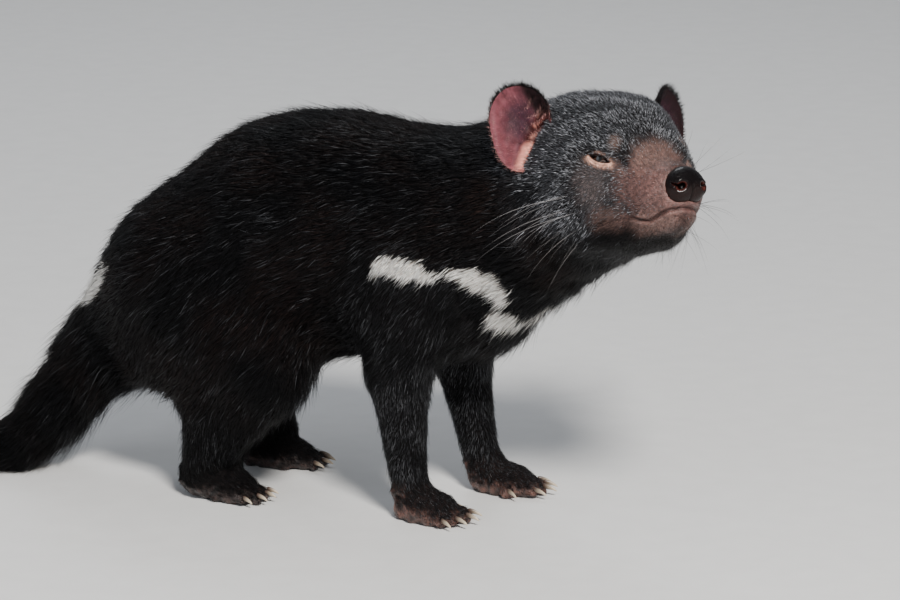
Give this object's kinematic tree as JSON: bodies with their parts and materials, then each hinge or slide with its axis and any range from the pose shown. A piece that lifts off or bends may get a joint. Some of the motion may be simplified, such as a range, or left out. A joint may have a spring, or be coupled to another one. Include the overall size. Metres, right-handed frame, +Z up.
{
  "type": "tasmanian devil model",
  "caption": "Standing tasmanian devil with turned head, short dark coat, rounded ears and a thick tail laid on the floor.",
  "frame": {"origin": "middle of the bounding box at floor level", "axes": "+X towards the front of the body, +Y to its left, +Z up"},
  "size_m": [0.6434, 0.1898, 0.3372],
  "materials": {
    "coat": "short coarse black fur with pale bands on the chest and rump",
    "paw_skin": "bare pinkish brown skin of the pads and toes, thinly haired above",
    "ear_skin": "thin bare pink skin",
    "nose_skin": "moist dark brown pebbled skin",
    "claw_horn": "pale horn, worn smooth",
    "eye_gloss": "wet black eye"
  },
  "bodies": {
    "root": {"torso": "coat", "neck": "coat", "tail_base": "coat", "tail_middle": "coat", "tail_end": "coat", "upper_arm_right": "coat", "forearm_right": "coat", "claw_fore_right_1": "claw_horn", "claw_fore_right_2": "claw_horn", "claw_fore_right_3": "claw_horn", "claw_fore_right_4": "claw_horn", "claw_fore_right_5": "claw_horn", "fore_paw_right": "paw_skin", "upper_arm_left": "coat", "forearm_left": "coat", "claw_fore_left_1": "claw_horn", "claw_fore_left_2": "claw_horn", "claw_fore_left_3": "claw_horn", "claw_fore_left_4": "claw_horn", "claw_fore_left_5": "claw_horn", "fore_paw_left": "paw_skin", "thigh_right": "coat", "shank_right": "coat", "claw_hind_right_1": "claw_horn", "claw_hind_right_2": "claw_horn", "claw_hind_right_3": "claw_horn", "claw_hind_right_4": "claw_horn", "hind_paw_right": "paw_skin", "thigh_left": "coat", "shank_left": "coat", "claw_hind_left_1": "claw_horn", "claw_hind_left_2": "claw_horn", "claw_hind_left_3": "claw_horn", "claw_hind_left_4": "claw_horn", "hind_paw_left": "paw_skin", "nose": "nose_skin", "head": "coat", "lower_jaw": "coat", "eye_right": "eye_gloss", "eye_left": "eye_gloss", "ear_right": "ear_skin", "ear_left": "ear_skin"}
  },
  "joints": []
}
